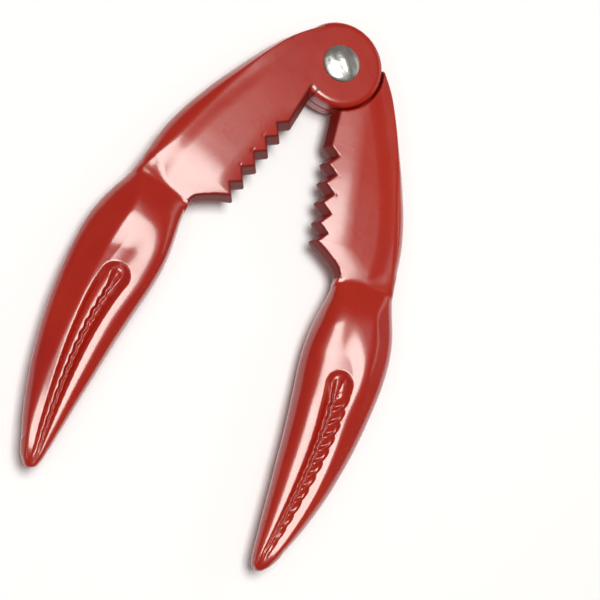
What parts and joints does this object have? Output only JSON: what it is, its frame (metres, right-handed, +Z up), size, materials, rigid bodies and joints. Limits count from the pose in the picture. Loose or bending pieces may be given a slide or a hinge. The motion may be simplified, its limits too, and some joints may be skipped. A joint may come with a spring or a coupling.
{
  "type": "nutcracker",
  "caption": "Claw-shaped cracker for nuts and shellfish: toothed jaws near the pivot, rounded claw handles, half-lap rivet hinge.",
  "frame": {"origin": "foot of the pivot axis: centre of the flat rivet tail, on the surface the tool lies on", "axes": "+Z up, along the pivot axis, towards the domed rivet head; handles point towards -Y, front arm on the -X side, rear arm on the +X side"},
  "size_m": [0.108, 0.1739, 0.0148],
  "materials": {
    "red_enamel": "gloss",
    "rivet_steel": "satin"
  },
  "bodies": {
    "front_arm": {"front_claw_arm": "red_enamel", "pivot_rivet": "rivet_steel"},
    "rear_arm": {"rear_claw_arm": "red_enamel"}
  },
  "joints": [
    {"name": "rivet_hinge", "type": "hinge", "parent": "front_arm", "child": "rear_arm", "pos_m": [0, 0, 0.0074], "axis": [0, 0, 1], "range_deg": [-25.2, 112]}
  ]
}
